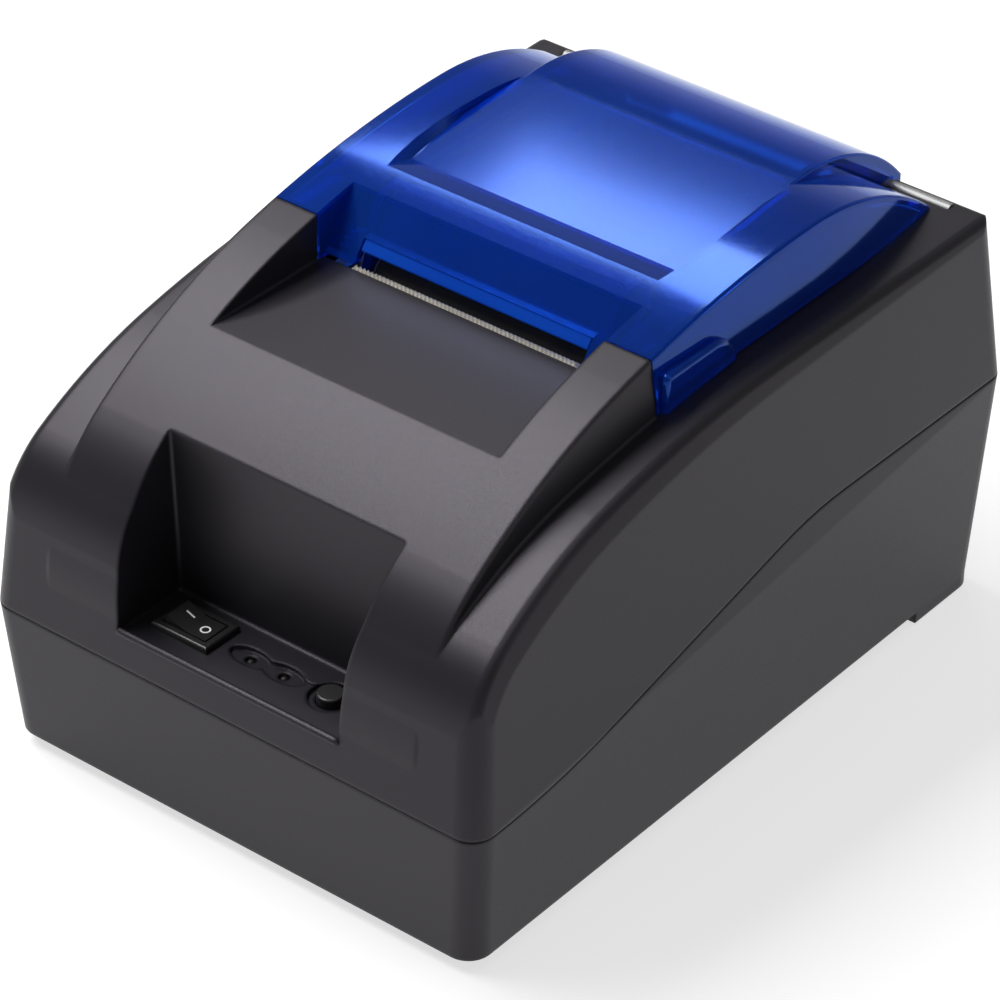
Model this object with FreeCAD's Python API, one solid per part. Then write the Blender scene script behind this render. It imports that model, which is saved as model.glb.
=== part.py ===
import FreeCAD, Part
import math
import os

V = FreeCAD.Vector

# Case envelope, in millimetres. Heights start at the base's bottom edge; foot_height lifts everything.
foot_height = 3.5
body_half_width = 65.0
body_half_depth = 91.55
bottom_inset = 2.55
loft_top = 115.0
side_top_inset = 6.0
front_top_inset = 8.0
rear_top_inset = 6.0
corner_radius = 5.5
wall = 2.2
floor_thickness = 2.2

# Parting line between base and housing: level, a ramp with rounded ends, level again
seam_front = 32.8
seam_rear = 52.4
seam_ramp_start = -85.0
seam_slope = 12.5
seam_front_radius = 150.0
seam_rear_radius = 100.0
seam_gap = 0.3
lip_height = 2.0
lip_thickness = 0.9
lip_clearance = 0.1

# Fender profile: where it leaves the front wall, its slope there, then (radius, slope at the end) of each arc
fender_start_height = 55.5
fender_start_slope = 80.0
fender_runs = [(24.5, 33.0), (97.0, 12.8), (265.0, 0.0)]
shoulder_radius = 2.3
shoulder_steps = 3
shoulder_skim = 0.02
rear_fall = 65.0

# Raised centre band, shared by the housing's front and the cover
band_start = (-90.45, 45.75)
band_start_slope = 88.0
band_runs = [(43.03, 36.04), (132.69, 13.84), (264.17, 0.0), (68.92, -52.0)]
band_half_width = 49.2
band_side_depth = 14.0
band_side_lean = 2.0
band_edge_radius = 0.8
band_floor = 34.0

# Cover
cover_front = -17.5
cover_gap = 0.3
cover_seat_gap = 0.4
cover_wall = 2.0
hinge_y = 84.6
hinge_height = 90.6
hinge_rod_radius = 1.5
hinge_rod_half_length = 52.0
rod_clearance = 0.05
knuckle_radius = 3.4
knuckle_inner_x = 22.0
knuckle_width = 9.0
knuckle_web = 2.2

# Hump strip over the paper roll: a flat panel, recessed at the front, running into a round back
panel_front = 9.4
panel_height = 104.8
panel_slope = 3.8
hump_crease_y = 50.3
hump_radius = 48.5
hump_end_slope = -49.0
hump_half_width = 35.4
hump_lip = 86.0
hump_lip_margin = 1.0
hump_overlap = 4.0
hump_edge_radius = 0.5
panel_ramp = 7.2
panel_ramp_rise = 1.25
# Half widths of the panel recess at the low and high level of each section along y
recess_low = 103.0
recess_high = 112.0
recess_sections = [(1.5, 31.5, 43.0), (31.0, 36.2, 36.8), (52.0, 35.3, 35.7)]

# Paper exit at the cover's front
exit_half_width = 37.8
exit_wall_foot = (-15.5, 91.8)
exit_wall_lean = 52.8
exit_reach = 30.0
slot_half_width = 30.0
slot_height = 97.0
slot_reach = 9.0

# Finger grips on the cover's sides
grip_front = -16.6
grip_rear = 7.4
grip_top = 99.2
grip_out = 52.4
grip_front_radius = 2.0
grip_rear_radius = 7.6
grip_edge_radius = 1.2

# Deck in front of the paper exit and the tear bar on its rear edge
deck_height = 91.8
deck_half_width = 37.5
deck_rear = -16.05
deck_thickness = 2.0
tear_bar_thickness = 0.8
tear_bar_depth = 5.8
tear_bar_half_width = 29.6
tooth_pitch = 1.05
tooth_height = 0.85
tooth_land = 0.05

# Control niche in the front
niche_floor = 41.0
niche_depth = 20.05
niche_back = niche_depth - body_half_depth
niche_half_low = 29.3
niche_half_high = 31.0
niche_top = 82.0
niche_round = 0.7
niche_wall = 2.5

# Hinge trough and roof opening of the housing
trough_radius = 8.2
trough_wall = 2.0
trough_half_width = 36.6
rod_block_half = 54.0
rod_block_reach = 4.0
rod_block_depth = 4.6
opening_half_width = 45.0
opening_rear = 74.0

# Paper roll bucket and its chassis
roll_y = 46.0
roll_height = 72.0
bucket_radius = 26.0
bucket_half_width = 29.5
bucket_wall = 1.6
chassis_half_width = 45.0
platform_height = 50.0
platform_thickness = 2.0
platform_front = -26.0
flange_lead = 1.8
flange_half_width = 52.0
post_x = 40.0
post_front = -20.0
post_rear = 67.0
post_radius = 4.0
post_foot = 6.0
post_seat = 3.5
sensor_half_width = 3.0
sensor_height = 1.4

# Print mechanism
platen_y = -5.0
platen_height = 86.0
platen_radius = 5.5
platen_half_length = 28.5
shaft_radius = 2.0
bush_radius = 3.5
bush_inner_x = 30.0
bush_outer_x = 35.4
running_clearance = 0.04
slot_clearance = 0.15
slot_flare = 8.0
holder_arm_x = 30.2
holder_arm_thickness = 2.0
holder_gap = 4.5
holder_ring = 1.8
holder_lean = 8.0
holder_clearance = 2.0
frame_plate_x = 33.6
frame_plate_thickness = 1.2
frame_front = -22.0
frame_tail = 0.2
frame_cheek = 3.0
frame_cheek_half = 9.0
frame_step = 6.0
frame_screw_inset = 5.5
gear_module = 0.6
gear_width = 2.6
gear_gap = 0.9
platen_teeth = 20
idler_teeth = 24
pinion_teeth = 16
gear_backlash = 0.12
pressure_angle = 20.0
tooth_addendum = 0.8
tooth_dedendum = 1.0
idler_lean = 3.1
pinion_direction = -36.87
motor_radius = 10.0
motor_length = 18.0
motor_ear = 14.0
motor_ear_half = 3.5
motor_ear_thickness = 1.0
motor_boss_radius = 3.0
motor_shaft_radius = 1.0
motor_screw_radius = 1.15
motor_head_radius = 1.9
motor_head_depth = 0.7
shaft_overhang = 0.4
idler_post_radius = 1.5
idler_collar = 1.0
idler_cap = 0.8
idler_play = 0.2
head_gap = 0.3
head_thickness = 0.8
head_height = 9.0
head_reach = 3.2
head_end_margin = 1.0
head_top_margin = 0.4
sink_thickness = 1.5
sink_half_width = 29.0
sink_knuckle_radius = 3.0
sink_knuckle_width = 8.0
pivot_height = 63.0
pivot_radius = 1.5
spring_thickness = 0.4
spring_half_width = 8.0
spring_bend_rise = 5.0
spring_leaf_rise = 12.0
spring_foot_height = 12.0
touch_gap = 0.3

# Electronics
board_height = 7.0
board_thickness = 1.6
board_half_width = 34.0
board_front = 24.0
board_rear_inset = 5.55
board_rear = body_half_depth - board_rear_inset
standoff_x = 29.0
standoff_front = 30.0
standoff_inset = 16.0
standoff_rear = board_rear - standoff_inset
standoff_radius = 3.0
port_inset = 2.25
port_face = body_half_depth - port_inset
usb_x = -4.0
drawer_x = 20.0
dc_x = -26.0
port_clearance = 0.3
port_widths = {"usb": 12.0, "drawer": 14.0, "dc": 9.0}
port_heights = {"usb": 10.9, "drawer": 12.8, "dc": 11.0}
port_depths = {"usb": 16.0, "drawer": 17.0, "dc": 14.0}
mouth_depth = 9.5
usb_mouth = (8.4, 7.8)
usb_tongue = (5.6, 3.2)
usb_chamfer = 1.7
drawer_mouth = (9.8, 6.8)
drawer_latch = (6.4, 2.0)
drawer_floor = 2.2
dc_bore_radius = 3.1
dc_pin_radius = 1.0
dc_centre_height = 6.0
# Chips: x, y, half width, height
chip_places = [(-2.0, 48.0, 6.0, 1.6), (16.0, 45.0, 4.0, 1.5)]
can_places = [(-22.0, 44.0), (-22.0, 56.0), (12.0, 60.0)]
can_radius = 3.2
can_height = 9.0
cable_half_width = 10.0
cable_thickness = 0.4
cable_set_back = 4.5
cable_top_bend = 3.0
cable_bend = 5.0
cable_rise = 8.0
cable_lift = 2.0
cable_slot_margin = 1.5
connector_depth = 5.5
connector_wall = 3.0
connector_margin = 2.0

# Niche controls
switch_x = -17.6
control_inset = 11.55
control_y = control_inset - body_half_depth
switch_length = 15.0
switch_width = 10.5
bezel_height = 1.4
bezel_rim = 1.6
bezel_overhang = 0.8
bezel_edge_radius = 0.6
switch_depth = 13.0
well_depth = 8.0
blade_x = 4.0
blade_thickness = 0.8
blade_half_width = 2.4
blade_length = 6.0
rocker_tilt = 10.0
rocker_clearance = 0.35
rocker_waist = 1.1
rocker_depth = 3.0
axle_radius = 0.8
axle_length = 0.8
axle_end_gap = 0.1
led_x = (-2.7, 6.2)
led_radius = 1.05
button_x = 18.4
button_radius = 3.0
button_rise = 1.3
button_travel = 0.8
button_clearance = 0.2
button_flange = 4.2
button_flange_height = 1.2
pocket_depth = 0.8
pocket_led_half = (5.2, 2.7)
pocket_button_radius = 4.8
button_stem_radius = 1.5
button_edge_radius = 0.5
panel_board_height = 30.0
panel_edge = 2.0
tact_height = 4.3
tact_half_width = 3.0
tact_plunger_radius = 1.7
tact_plunger_height = 0.9

# Fasteners and feet
case_screw_side = 11.0
case_screw_end = 13.55
case_screw_x = body_half_width - case_screw_side
case_screw_y = body_half_depth - case_screw_end
base_boss_height = 12.0
base_boss_radius = 5.0
housing_boss_radius = 4.2
screw_radius = 1.45
screw_clearance = 0.25
head_radius = 2.8
head_depth = 2.0
counterbore = 0.5
case_screw_length = 16.0
small_screw_length = 7.0
board_screw_length = 6.0
foot_radius = 6.0
foot_side = 15.0
foot_end = 27.55
foot_x = body_half_width - foot_side
foot_front = foot_end - body_half_depth
heel_drop = 2.7
heel_length = 25.55
heel_start = body_half_depth - heel_length
heel_width = 12.0
heel_pad_radius = 3.6
heel_pad_side = 7.5
heel_pad_end = 6.55
heel_pad_x = body_half_width - heel_pad_side
heel_pad_y = body_half_depth - heel_pad_end
foot_seat = 0.8
thread_clearance = 0.03
case_grip = 4.0
panel_boss_radius = 3.0
panel_screw_places = [(-6.0, control_y + 4.2), (25.0, control_y - 5.0)]


def box(x0, x1, y0, y1, z0, z1):
    return Part.makeBox(x1 - x0, y1 - y0, z1 - z0, V(x0, y0, z0))


def rod_x(y, z, radius, x0, x1):
    return Part.makeCylinder(radius, x1 - x0, V(x0, y, z), V(1, 0, 0))


def rod_y(x, z, radius, y0, y1):
    return Part.makeCylinder(radius, y1 - y0, V(x, y0, z), V(0, 1, 0))


def rod_z(x, y, radius, z0, z1):
    return Part.makeCylinder(radius, z1 - z0, V(x, y, z0), V(0, 0, 1))


def closed_wire(points):
    corners = [V(*point) for point in points]
    return Part.makePolygon(corners + corners[:1])


def prism_x(points, x0, x1):
    """Solid whose (y, z) outline runs from x0 to x1."""
    face = Part.Face(closed_wire([(x0, y, z) for y, z in points]))
    return face.extrude(V(x1 - x0, 0, 0))


def prism_y(points, y0, y1):
    """Solid whose (x, z) outline runs from y0 to y1."""
    face = Part.Face(closed_wire([(x, y0, z) for x, z in points]))
    return face.extrude(V(0, y1 - y0, 0))


def fuse_all(shapes):
    return shapes[0].multiFuse(shapes[1:]).removeSplitter()


def both_sides(shape):
    return [shape, shape.mirror(V(0, 0, 0), V(1, 0, 0))]


def rounded_rectangle(half_x, y_front, y_rear, radius, z_front, z_rear):
    """Rectangle with round corners, tilted from z_front to z_rear."""

    def at(x, y):
        return V(x, y, z_front + (z_rear - z_front) * (y - y_front) / (y_rear - y_front))

    cut = radius * (1.0 - math.sqrt(0.5))
    corners = []
    for x, y, sx, sy in ((half_x, y_front, -1, 1), (half_x, y_rear, -1, -1),
                         (-half_x, y_rear, 1, -1), (-half_x, y_front, 1, 1)):
        along_x = at(x + sx * radius, y)
        along_y = at(x, y + sy * radius)
        middle = at(x + sx * cut, y + sy * cut)
        corners.append((along_x, middle, along_y) if sx * sy < 0 else (along_y, middle, along_x))
    edges = []
    for i, (first, middle, last) in enumerate(corners):
        edges.append(Part.Arc(first, middle, last).toShape())
        edges.append(Part.LineSegment(last, corners[(i + 1) % 4][0]).toShape())
    return Part.Wire(edges)


def envelope(inset):
    """Drafted case form, widest along the parting line, with its walls moved in by inset."""
    radius = corner_radius - 0.9 * inset
    half = body_half_width - inset
    depth = body_half_depth - inset
    bottom = rounded_rectangle(half - bottom_inset, bottom_inset - depth, depth - bottom_inset, radius, 0, 0)
    girth = rounded_rectangle(half, -depth, depth, radius, seam_front, seam_rear)
    top = rounded_rectangle(half - side_top_inset, front_top_inset - depth, depth - rear_top_inset,
                            radius, loft_top, loft_top)
    lower = Part.makeLoft([bottom, girth], True, True)
    upper = Part.makeLoft([girth, top], True, True)
    return lower.fuse(upper)


def front_wall_y(height):
    share = (height - seam_front) / (loft_top - seam_front)
    return -body_half_depth + front_top_inset * share


def arc_point(start, radius, slope, next_slope):
    """Point on an arc that leaves start at one slope, where it reaches the next slope (degrees)."""
    a = math.radians(slope)
    b = math.radians(next_slope)
    y = start[0] + radius * (math.sin(a) - math.sin(b))
    z = start[1] + radius * (math.cos(b) - math.cos(a))
    return (y, z)


def arc_chain(start, slope, runs, inset, x):
    """Tangent arcs climbing rearwards in the plane of x, moved inwards by inset."""
    a = math.radians(slope)
    point = (start[0] + inset * math.sin(a), start[1] - inset * math.cos(a))
    first = point
    edges = []
    for radius, next_slope in runs:
        middle = arc_point(point, radius - inset, slope, 0.5 * (slope + next_slope))
        last = arc_point(point, radius - inset, slope, next_slope)
        edges.append(Part.Arc(V(x, *point), V(x, *middle), V(x, *last)).toShape())
        point = last
        slope = next_slope
    return first, edges, point


def close_profile(edges, points, x):
    """Close a chain of edges with straight lines through the given (y, z) points."""
    for first, last in zip(points, points[1:]):
        edges.append(Part.LineSegment(V(x, *first), V(x, *last)).toShape())
    return Part.Wire(edges)


def fender_start():
    return (front_wall_y(fender_start_height), fender_start_height)


def fender_top():
    return arc_chain(fender_start(), fender_start_slope, fender_runs, 0.0, 0.0)[2][1]


def fender_prism(inset):
    """Everything under the fender profile, with its rear edge rounded over."""
    reach = 1.3 * body_half_depth
    share = (fender_top() - seam_rear) / (loft_top - seam_rear)
    rear = body_half_depth - rear_top_inset * share
    start, edges, end = arc_chain(fender_start(), fender_start_slope, fender_runs, inset, -reach)
    turn = (rear - shoulder_radius, end[1])
    round_middle = arc_point(turn, shoulder_radius, 0.0, -0.5 * rear_fall)
    round_end = arc_point(turn, shoulder_radius, 0.0, -rear_fall)
    edges.append(Part.LineSegment(V(-reach, *end), V(-reach, *turn)).toShape())
    edges.append(Part.Arc(V(-reach, *turn), V(-reach, *round_middle), V(-reach, *round_end)).toShape())
    run_out = 3.0 * shoulder_radius
    out = (round_end[0] + run_out, round_end[1] - run_out * math.tan(math.radians(rear_fall)))
    points = [round_end, out, (reach, out[1]), (reach, -wall), (-reach, -wall), (-reach, start[1]), start]
    return Part.Face(close_profile(edges, points, -reach)).extrude(V(2 * reach, 0, 0))


def shoulder_cut():
    """Wedge outside the rounded shoulder of the right fender, leaned in with the side wall."""
    r = shoulder_radius
    outer = -3.0 * r
    stations = [(body_half_width - r, -shoulder_skim)]
    for k in range(1, shoulder_steps + 1):
        angle = math.radians(90.0 * (1.0 - k / shoulder_steps))
        stations.append((body_half_width - r + r * math.cos(angle), r - r * math.sin(angle)))
    (x0, i0), (x1, i1) = stations[-2:]
    over = 0.8 * r
    stations.append((x1 + over, i1 + over * (i1 - i0) / (x1 - x0)))
    wires = []
    for x, inset in stations:
        low_start, low, low_end = arc_chain(fender_start(), fender_start_slope, fender_runs, inset, x)
        high_start, high, high_end = arc_chain(fender_start(), fender_start_slope, fender_runs, outer, x)
        back = 1.2 * body_half_depth
        points = [low_end, (back, low_end[1]), (back, high_end[1]), high_end]
        for first, last in zip(points, points[1:]):
            low.append(Part.LineSegment(V(x, *first), V(x, *last)).toShape())
        low.extend(reversed(high))
        low.append(Part.LineSegment(V(x, *high_start), V(x, *low_start)).toShape())
        wires.append(Part.Wire(Part.__sortEdges__(low)))
    wedge = Part.makeLoft(wires, True, True)
    tilt = (seam_rear - seam_front) / (2.0 * body_half_depth)
    lean = side_top_inset / (loft_top - seam_rear)
    shear = FreeCAD.Matrix()
    shear.A12 = lean * tilt
    shear.A13 = -lean
    shear.A14 = lean * 0.5 * (seam_front + seam_rear)
    return wedge.transformGeometry(shear)


def band_wire(x, inset):
    start, edges, end = arc_chain(band_start, band_start_slope, band_runs, inset, x)
    drop = start[1] - band_floor
    foot = (start[0] - drop / math.tan(math.radians(band_start_slope)), band_floor)
    return close_profile(edges, [end, (end[0], band_floor), foot, start], x)


def band_block(inset):
    """Raised band from front to back: round upper edges, sides that lean out below them."""
    r = band_edge_radius
    half = band_half_width - inset
    steps = [(half - r, 0.0), (half - 0.5 * r, 0.14 * r), (half - 0.14 * r, 0.5 * r), (half, r)]
    steps.append((half + band_side_lean, band_side_depth))
    wires = [band_wire(-x, step + inset) for x, step in reversed(steps)]
    wires += [band_wire(x, step + inset) for x, step in steps]
    return Part.makeLoft(wires, True, True)


def seam_above(gap):
    """Everything higher than the parting line, raised by gap."""
    reach = 1.3 * body_half_depth
    a = math.radians(seam_slope)
    rise = seam_rear - seam_front - (seam_front_radius + seam_rear_radius) * (1.0 - math.cos(a))
    length = rise / math.sin(a)
    p0 = (seam_ramp_start, seam_front + gap)

    def up(start, radius, angle):
        return (start[0] + radius * math.sin(angle), start[1] + radius * (1.0 - math.cos(angle)))

    p1 = up(p0, seam_front_radius, a)
    p2 = (p1[0] + length * math.cos(a), p1[1] + length * math.sin(a))
    p3 = arc_point(p2, seam_rear_radius, seam_slope, 0.0)
    x = -reach
    edges = [Part.LineSegment(V(x, -reach, p0[1]), V(x, *p0)).toShape(),
             Part.Arc(V(x, *p0), V(x, *up(p0, seam_front_radius, 0.5 * a)), V(x, *p1)).toShape(),
             Part.LineSegment(V(x, *p1), V(x, *p2)).toShape(),
             Part.Arc(V(x, *p2), V(x, *arc_point(p2, seam_rear_radius, seam_slope, 0.5 * seam_slope)),
                      V(x, *p3)).toShape()]
    points = [p3, (reach, p3[1]), (reach, loft_top), (-reach, loft_top), (-reach, p0[1])]
    return Part.Face(close_profile(edges, points, x)).extrude(V(2 * reach, 0, 0))


def housing_outer():
    fender = envelope(0.0).common(fender_prism(0.0))
    for wedge in both_sides(shoulder_cut()):
        fender = fender.cut(wedge)
    reach = body_half_width
    front_band = band_block(0.0).common(box(-reach, reach, -reach * 2, cover_front - cover_gap, 0, loft_top))
    return fender.fuse(front_band)


def housing_inner():
    reach = body_half_width
    fender = envelope(wall).common(fender_prism(wall))
    end = cover_front - cover_gap - wall
    front_band = band_block(wall).common(box(-reach, reach, -reach * 2, end, 0, loft_top))
    return fender.fuse(front_band)


def screw_group(places, seat, direction, length):
    """Pan-head screws whose heads bear on seat (a height) and whose shanks run up (1) or down (-1)."""
    screws = []
    for x, y in places:
        if direction > 0:
            head = rod_z(x, y, head_radius, seat - head_depth, seat)
            shank = rod_z(x, y, screw_radius, seat, seat + length)
        else:
            head = rod_z(x, y, head_radius, seat, seat + head_depth)
            shank = rod_z(x, y, screw_radius, seat - length, seat)
        screws.append(head.fuse(shank).removeSplitter())
    return Part.makeCompound(screws)


def four(x, y_front, y_rear):
    return [(x, y_front), (-x, y_front), (x, y_rear), (-x, y_rear)]


case_places = four(case_screw_x, -case_screw_y, case_screw_y)
post_places = four(post_x, post_front, post_rear)
standoff_places = four(standoff_x, standoff_front, standoff_rear)
heel_pad_places = [(heel_pad_x, heel_pad_y), (-heel_pad_x, heel_pad_y)]
foot_places = [(foot_x, foot_front), (-foot_x, foot_front)]
case_seat = base_boss_height - case_grip
board_top = board_height + board_thickness
port_places = {"usb": usb_x, "drawer": drawer_x, "dc": dc_x}


def boss_cuts(places, seat, top):
    cuts = []
    for x, y in places:
        cuts.append(rod_z(x, y, screw_radius + screw_clearance, seat, top))
        cuts.append(rod_z(x, y, head_radius + counterbore, -heel_drop, seat))
    return cuts


def lower_base():
    above = seam_above(0.0)
    reach = body_half_depth
    floor_slab = box(-reach, reach, -reach, reach, 0, floor_thickness)
    tray = envelope(0.0).cut(envelope(wall).cut(floor_slab)).cut(above)
    lip = envelope(wall - lip_thickness).cut(envelope(wall)).common(above).cut(seam_above(lip_height))
    half = body_half_width - bottom_inset
    depth = body_half_depth - bottom_inset
    outline = rounded_rectangle(half, -depth, depth, corner_radius, 0, 0)
    skirt = Part.Face(outline).extrude(V(0, 0, -heel_drop))
    heels = [skirt.common(box(sx - heel_width, sx, heel_start, body_half_depth, -heel_drop, 0))
             for sx in (half, heel_width - half)]
    bosses = [rod_z(x, y, base_boss_radius, 0, base_boss_height) for x, y in case_places]
    bosses += [rod_z(x, y, base_boss_radius, 0, post_foot) for x, y in post_places]
    bosses += [rod_z(x, y, standoff_radius, 0, board_height) for x, y in standoff_places]
    solid = fuse_all([tray, lip] + heels + bosses)
    cuts = boss_cuts(case_places, case_seat, base_boss_height)
    cuts += boss_cuts(post_places, post_seat, post_foot)
    pilot = screw_radius + thread_clearance
    cuts += [rod_z(x, y, pilot, floor_thickness, board_height) for x, y in standoff_places]
    cuts += [rod_z(x, y, foot_radius, 0, foot_seat) for x, y in foot_places]
    cuts += [rod_z(x, y, heel_pad_radius, -heel_drop, foot_seat - heel_drop) for x, y in heel_pad_places]
    for port, x in port_places.items():
        reach = 0.5 * port_widths[port] + port_clearance
        top = board_top + port_heights[port] + port_clearance
        cuts.append(box(x - reach, x + reach, board_rear, body_half_depth, board_top - port_clearance, top))
    return solid.cut(Part.makeCompound(cuts))


def niche_cutter():
    outline = [(-niche_half_low, niche_floor), (niche_half_low, niche_floor),
               (niche_half_high, niche_top), (-niche_half_high, niche_top)]
    block = prism_y(outline, -1.2 * body_half_depth, niche_back)
    back_edges = []
    for edge in block.Edges:
        middle = edge.CenterOfMass
        if abs(middle.y - niche_back) < 0.01 and middle.z < niche_top - 1.0:
            back_edges.append(edge)
    return block.makeFillet(niche_round, back_edges)


def niche_block():
    low = niche_half_low + niche_wall
    high = niche_half_high + niche_wall
    bottom = niche_floor - niche_wall
    return prism_y([(-low, bottom), (low, bottom), (high, loft_top), (-high, loft_top)],
                   -1.2 * body_half_depth, niche_back + niche_wall)


def ellipse_slab(x, y, half, z0, z1):
    curve = Part.Ellipse(V(x, y, z0), half[0], half[1])
    return Part.Face(Part.Wire(curve.toShape())).extrude(V(0, 0, z1 - z0))


def niche_openings():
    """Holes through the niche floor for the switch, lights and button, and the shallow pocket round them."""
    under = niche_floor - 2.0 * niche_wall
    over = niche_floor + niche_wall
    length = 0.5 * switch_length - bezel_overhang + port_clearance
    width = 0.5 * switch_width - bezel_overhang + port_clearance
    cuts = [box(switch_x - length, switch_x + length, control_y - width, control_y + width, under, over)]
    pocket = niche_floor - pocket_depth
    for x in led_x:
        cuts.append(ellipse_slab(x, control_y, pocket_led_half, pocket, over))
        cuts.append(rod_z(x, control_y, led_radius + button_clearance, under, over))
    cuts.append(rod_z(button_x, control_y, pocket_button_radius, pocket, over))
    cuts.append(rod_z(button_x, control_y, button_radius + button_clearance, under, over))
    return Part.makeCompound([fuse_all(cuts)])


def upper_housing():
    reach = body_half_width
    slab_half = deck_half_width + wall
    band_end = cover_front - cover_gap
    roof = fender_top()
    deck_keep = box(-slab_half, slab_half, -reach, deck_rear, deck_height - deck_thickness, loft_top)
    cavity = housing_inner().cut(niche_block()).cut(deck_keep)
    outer = housing_outer().common(seam_above(seam_gap))
    shell = outer.cut(cavity).cut(niche_cutter())
    shell = shell.cut(box(-deck_half_width, deck_half_width, -reach, deck_rear, deck_height, loft_top))
    shell = shell.cut(box(-opening_half_width, opening_half_width, band_end, opening_rear,
                          platform_height, loft_top))
    rebate = envelope(wall - lip_thickness - lip_clearance).cut(seam_above(lip_height + seam_gap))
    shell = shell.cut(rebate)
    deck_edge = box(-deck_half_width, deck_half_width, band_end - wall, deck_rear,
                    deck_height - deck_thickness, deck_height)
    trough_half = trough_half_width + trough_wall
    trough = rod_x(hinge_y, hinge_height, trough_radius + trough_wall, -trough_half, trough_half)
    rod_block = box(-rod_block_half, rod_block_half, hinge_y - rod_block_reach, hinge_y + rod_block_reach,
                    min(hinge_height, roof) - rod_block_depth, max(hinge_height, roof))
    inside = envelope(0.5 * wall).common(fender_prism(0.0))
    bosses = []
    for x, y in case_places:
        boss = rod_z(x, y, housing_boss_radius, base_boss_height, loft_top)
        bosses.append(boss.common(fender_prism(0.5 * wall)))
    panel_bosses = [rod_z(x, y, panel_boss_radius, panel_top(), niche_floor - 0.5 * niche_wall)
                    for x, y in panel_screw_places]
    rear_blocks = [trough.common(inside), rod_block.common(inside)]
    shell = fuse_all([shell, deck_edge] + rear_blocks + bosses + panel_bosses)
    rod_slot = hinge_rod_radius + rod_clearance
    cuts = [rod_x(hinge_y, hinge_height, trough_radius, -trough_half_width, trough_half_width),
            box(-trough_half_width, trough_half_width, hinge_y - trough_radius, body_half_depth,
                hinge_height, loft_top),
            rod_x(hinge_y, hinge_height, rod_slot, -hinge_rod_half_length, hinge_rod_half_length),
            box(-hinge_rod_half_length, hinge_rod_half_length, hinge_y - rod_slot, hinge_y + rod_slot,
                hinge_height, loft_top), niche_openings()]
    pilot = screw_radius + thread_clearance
    for x, y in case_places:
        cuts.append(rod_z(x, y, pilot, base_boss_height, case_seat + case_screw_length + wall))
    for x, y in panel_screw_places:
        cuts.append(rod_z(x, y, pilot, panel_board_height, niche_floor - niche_wall))
    for cut in cuts:
        shell = shell.cut(cut)
    return shell


def panel_level(y):
    return panel_height + (y - panel_front) * math.tan(math.radians(panel_slope))


def hump_wire(x, inset, floor, lip):
    """Panel strip and round back of the hump, in the plane of x; lip is how low its rear wall hangs."""
    crease = (hump_crease_y, panel_level(hump_crease_y) - inset)
    front = (hump_crease_y - hump_overlap, panel_level(hump_crease_y - hump_overlap) - inset)
    radius = hump_radius - inset
    middle = arc_point(crease, radius, panel_slope, 0.5 * (panel_slope + hump_end_slope))
    end = arc_point(crease, radius, panel_slope, hump_end_slope)
    edges = [Part.LineSegment(V(x, *front), V(x, *crease)).toShape(),
             Part.Arc(V(x, *crease), V(x, *middle), V(x, *end)).toShape()]
    step = end[0] - cover_wall - hump_lip_margin
    points = [end, (end[0], lip), (step, lip), (step, floor), (front[0], floor), front]
    return close_profile(edges, points, x)


def hump_block(inset, floor, lip):
    half = hump_half_width - inset
    r = hump_edge_radius
    steps = [(half - r, inset), (half - 0.3 * r, inset + 0.3 * r), (half, inset + r)]
    wires = [hump_wire(-x, i, floor, lip) for x, i in reversed(steps)]
    wires += [hump_wire(x, i, floor, lip) for x, i in steps]
    return Part.makeLoft(wires, True, True)


def recess_cutter(grow):
    """Space over the flat panel: a shallow ramp in front, leaning sides that close towards the hump."""
    front = panel_front - 3.0 * panel_ramp
    rear = hump_crease_y + 0.5 * hump_overlap
    low = [(front - grow, panel_height + 3.0 * panel_ramp_rise - grow),
           (panel_front - grow, panel_height - grow), (rear, panel_level(rear) - grow),
           (rear, loft_top), (front - grow, loft_top)]
    wires = []
    for y, half_low, half_high in recess_sections:
        a = half_low + grow
        b = half_high + grow
        wires.append(closed_wire([(-a, y - grow, recess_low), (a, y - grow, recess_low),
                                  (b, y - grow, recess_high), (-b, y - grow, recess_high)]))
    return prism_x(low, -body_half_width, body_half_width).common(Part.makeLoft(wires, True, True))


def exit_line(offset):
    """Two far points on the paper exit wall, moved rearwards by offset."""
    a = math.radians(exit_wall_lean)
    y = exit_wall_foot[0] + offset * math.sin(a)
    z = exit_wall_foot[1] - offset * math.cos(a)
    below = (y - 0.5 * exit_reach * math.cos(a), z - 0.5 * exit_reach * math.sin(a))
    above = (y + exit_reach * math.cos(a), z + exit_reach * math.sin(a))
    return below, above


def exit_cutter(grow):
    below, above = exit_line(grow)
    half = exit_half_width + grow
    front = -body_half_depth
    return prism_x([below, above, (front, above[1]), (front, below[1])], -half, half)


def cover_grip():
    """Finger grip on the cover's right side: upright front, round rear upper corner, soft outer edge."""
    foot = fender_top() - wall
    x = band_half_width - 0.5 * cover_wall
    block = box(x, grip_out, grip_front, grip_rear, foot, grip_top)
    for end, radius in ((grip_front, grip_front_radius), (grip_rear, grip_rear_radius)):
        corner = [edge for edge in block.Edges
                  if abs(edge.CenterOfMass.y - end) < 0.01 and abs(edge.CenterOfMass.z - grip_top) < 0.01]
        block = block.makeFillet(radius, corner)
    rim = [edge for edge in block.Edges
           if abs(edge.BoundBox.XMin - grip_out) < 0.01 and edge.CenterOfMass.z > foot + 0.01]
    return block.makeFillet(grip_edge_radius, rim)


def cover_cavity():
    reach = body_half_width
    front = cover_front + cover_wall
    cavity = band_block(cover_wall).common(box(-reach, reach, front, 2 * reach, 0, loft_top))
    cavity = cavity.cut(recess_cutter(cover_wall)).cut(exit_cutter(cover_wall))
    under_lip = hump_lip - trough_radius
    return cavity.fuse(hump_block(cover_wall, under_lip, under_lip - cover_wall))


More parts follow.
